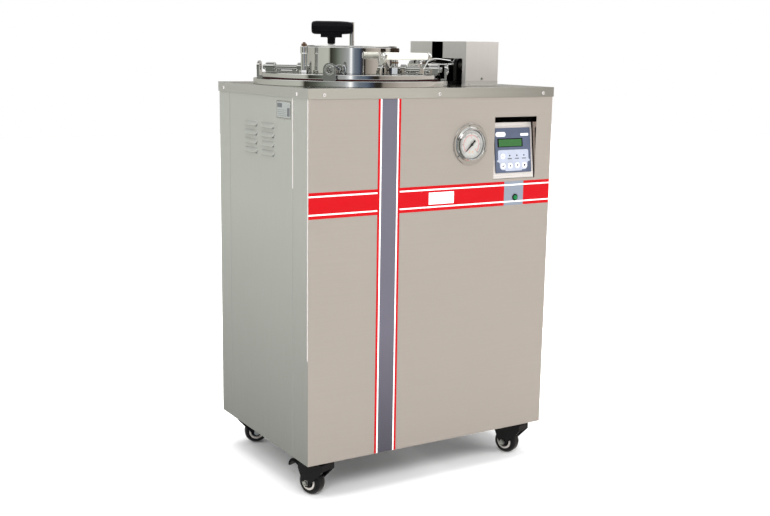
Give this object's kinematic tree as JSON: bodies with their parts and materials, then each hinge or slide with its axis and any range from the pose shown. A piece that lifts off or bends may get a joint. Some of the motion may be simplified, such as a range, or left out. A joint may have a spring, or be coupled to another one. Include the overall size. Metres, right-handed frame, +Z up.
{
  "type": "vertical autoclave",
  "caption": "Floor-standing vertical autoclave: steel cabinet on braked casters, swing-up lid with radial locking bolts, gauge and controller.",
  "frame": {"origin": "on the floor under the middle of the cabinet", "axes": "+Z up, the front panel faces -Y, +X to the viewer's right, towards the lid's hinge"},
  "size_m": [0.604, 0.447, 0.9718],
  "materials": {
    "brushed_steel": "fine brushed stainless sheet",
    "polished_steel": "mirror-polished stainless steel",
    "frame_steel": "satin grey paint",
    "black_plastic": "moulded, slightly glossy",
    "white_plastic": "moulded, satin",
    "controller_blue": "fine-textured moulded plastic",
    "red_rubber": "matt moulded silicone",
    "caster_tread": "satin, lightly worn",
    "green_lens": "clear tinted lens"
  },
  "bodies": {
    "root": {"top_cover": "brushed_steel", "front_panel": "brushed_steel", "left_panel": "brushed_steel", "right_panel": "brushed_steel", "rear_panel": "brushed_steel", "cabinet_frame": "frame_steel", "cable_gland": "black_plastic", "vessel_shell": "polished_steel", "vessel_flange": "polished_steel", "heater_element": "brushed_steel", "sterilising_basket": "polished_steel", "lock_keeper_1": "polished_steel", "lock_keeper_2": "polished_steel", "lock_keeper_3": "polished_steel", "lock_keeper_4": "polished_steel", "hinge_housing": "brushed_steel", "hinge_end_cover": "brushed_steel", "hinge_bracket": "brushed_steel", "gauge_case": "polished_steel", "controller_bracket": "polished_steel", "controller_body": "controller_blue", "indicator_lamp": "green_lens"},
    "lid": {"lid_plate": "polished_steel", "lid_gasket": "red_rubber", "drum_wall": "polished_steel", "bolt_guide_1": "polished_steel", "bolt_guide_2": "polished_steel", "bolt_guide_3": "polished_steel", "bolt_guide_4": "polished_steel", "lid_handle_grip": "white_plastic", "lid_handle_bracket": "polished_steel", "vent_valve": "polished_steel", "safety_valve": "polished_steel", "hinge_arm": "polished_steel", "hinge_shaft": "polished_steel"},
    "lock": {"drum_cap": "polished_steel", "cam_disc": "polished_steel", "t_handle_grip": "black_plastic"},
    "bolt_1": {"lock_bolt_1": "polished_steel"},
    "bolt_2": {"lock_bolt_2": "polished_steel"},
    "bolt_3": {"lock_bolt_3": "polished_steel"},
    "bolt_4": {"lock_bolt_4": "polished_steel"},
    "fork_front_left": {"caster_fork_front_left": "black_plastic"},
    "wheel_front_left": {"caster_wheel_front_left": "caster_tread"},
    "pedal_front_left": {"brake_pedal_front_left": "black_plastic"},
    "fork_front_right": {"caster_fork_front_right": "black_plastic"},
    "wheel_front_right": {"caster_wheel_front_right": "caster_tread"},
    "pedal_front_right": {"brake_pedal_front_right": "black_plastic"},
    "fork_rear_left": {"caster_fork_rear_left": "black_plastic"},
    "wheel_rear_left": {"caster_wheel_rear_left": "caster_tread"},
    "pedal_rear_left": {"brake_pedal_rear_left": "black_plastic"},
    "fork_rear_right": {"caster_fork_rear_right": "black_plastic"},
    "wheel_rear_right": {"caster_wheel_rear_right": "caster_tread"},
    "pedal_rear_right": {"brake_pedal_rear_right": "black_plastic"},
    "key_start": {"key_start": "white_plastic"},
    "key_enter": {"key_enter": "white_plastic"},
    "key_up": {"key_up": "white_plastic"},
    "key_down": {"key_down": "white_plastic"},
    "key_set": {"key_set": "white_plastic"},
    "needle": {"gauge_needle": "black_plastic"}
  },
  "joints": [
    {"name": "lid_hinge", "type": "hinge", "parent": "root", "child": "lid", "pos_m": [0.182, 0, 0.884], "axis": [0, 1, 0], "range_deg": [0, 100]},
    {"name": "lock_turn", "type": "hinge", "parent": "lid", "child": "lock", "pos_m": [-0.084, 0, 0.921], "axis": [0, 0, 1], "range_deg": [0, 45]},
    {"name": "bolt_slide_1", "type": "slide", "parent": "lid", "child": "bolt_1", "axis": [0.6691, 0.7431, 0], "range_m": [0, 0.016]},
    {"name": "bolt_slide_2", "type": "slide", "parent": "lid", "child": "bolt_2", "axis": [-0.7431, 0.6691, 0], "range_m": [0, 0.016]},
    {"name": "bolt_slide_3", "type": "slide", "parent": "lid", "child": "bolt_3", "axis": [-0.6691, -0.7431, 0], "range_m": [0, 0.016]},
    {"name": "bolt_slide_4", "type": "slide", "parent": "lid", "child": "bolt_4", "axis": [0.7431, -0.6691, 0], "range_m": [0, 0.016]},
    {"name": "swivel_front_left", "type": "hinge", "parent": "root", "child": "fork_front_left", "pos_m": [-0.255, -0.188, 0.076], "axis": [0, 0, 1], "continuous": true},
    {"name": "roll_front_left", "type": "hinge", "parent": "fork_front_left", "child": "wheel_front_left", "pos_m": [-0.26355, -0.16451, 0.027], "axis": [-0.9397, -0.342, 0], "continuous": true},
    {"name": "brake_front_left", "type": "hinge", "parent": "fork_front_left", "child": "pedal_front_left", "pos_m": [-0.26988, -0.14712, 0.06], "axis": [0.9397, 0.342, 0], "range_deg": [0, 14]},
    {"name": "swivel_front_right", "type": "hinge", "parent": "root", "child": "fork_front_right", "pos_m": [0.255, -0.188, 0.076], "axis": [0, 0, 1], "continuous": true},
    {"name": "roll_front_right", "type": "hinge", "parent": "fork_front_right", "child": "wheel_front_right", "pos_m": [0.24645, -0.16451, 0.027], "axis": [-0.9397, -0.342, 0], "continuous": true},
    {"name": "brake_front_right", "type": "hinge", "parent": "fork_front_right", "child": "pedal_front_right", "pos_m": [0.24012, -0.14712, 0.06], "axis": [0.9397, 0.342, 0], "range_deg": [0, 14]},
    {"name": "swivel_rear_left", "type": "hinge", "parent": "root", "child": "fork_rear_left", "pos_m": [-0.255, 0.188, 0.076], "axis": [0, 0, 1], "continuous": true},
    {"name": "roll_rear_left", "type": "hinge", "parent": "fork_rear_left", "child": "wheel_rear_left", "pos_m": [-0.23151, 0.17945, 0.027], "axis": [0.342, 0.9397, 0], "continuous": true},
    {"name": "brake_rear_left", "type": "hinge", "parent": "fork_rear_left", "child": "pedal_rear_left", "pos_m": [-0.21412, 0.17312, 0.06], "axis": [-0.342, -0.9397, 0], "range_deg": [0, 14]},
    {"name": "swivel_rear_right", "type": "hinge", "parent": "root", "child": "fork_rear_right", "pos_m": [0.255, 0.188, 0.076], "axis": [0, 0, 1], "continuous": true},
    {"name": "roll_rear_right", "type": "hinge", "parent": "fork_rear_right", "child": "wheel_rear_right", "pos_m": [0.23151, 0.17945, 0.027], "axis": [0.342, -0.9397, 0], "continuous": true},
    {"name": "brake_rear_right", "type": "hinge", "parent": "fork_rear_right", "child": "pedal_rear_right", "pos_m": [0.21412, 0.17312, 0.06], "axis": [-0.342, 0.9397, 0], "range_deg": [0, 14]},
    {"name": "press_start", "type": "slide", "parent": "root", "child": "key_start", "axis": [0, 0.9924, -0.1227], "range_m": [0, 0.0012], "stiffness_N_per_m": 250, "springref_m": -0.002},
    {"name": "press_enter", "type": "slide", "parent": "root", "child": "key_enter", "axis": [0, 0.9924, -0.1227], "range_m": [0, 0.0012], "stiffness_N_per_m": 250, "springref_m": -0.002},
    {"name": "press_up", "type": "slide", "parent": "root", "child": "key_up", "axis": [0, 0.9924, -0.1227], "range_m": [0, 0.0012], "stiffness_N_per_m": 250, "springref_m": -0.002},
    {"name": "press_down", "type": "slide", "parent": "root", "child": "key_down", "axis": [0, 0.9924, -0.1227], "range_m": [0, 0.0012], "stiffness_N_per_m": 250, "springref_m": -0.002},
    {"name": "press_set", "type": "slide", "parent": "root", "child": "key_set", "axis": [0, 0.9924, -0.1227], "range_m": [0, 0.0012], "stiffness_N_per_m": 250, "springref_m": -0.002},
    {"name": "needle_turn", "type": "hinge", "parent": "root", "child": "needle", "pos_m": [0.083, -0.2185, 0.721], "axis": [0, 1, 0], "range_deg": [0, 270], "stiffness_Nm_per_rad": 0.002, "springref_deg": -5.73}
  ],
  "couplings": [
    {"joint": "bolt_slide_1", "follows": "lock_turn", "m_per_rad": 0.019735},
    {"joint": "bolt_slide_2", "follows": "lock_turn", "m_per_rad": 0.019735},
    {"joint": "bolt_slide_3", "follows": "lock_turn", "m_per_rad": 0.019735},
    {"joint": "bolt_slide_4", "follows": "lock_turn", "m_per_rad": 0.019735}
  ]
}
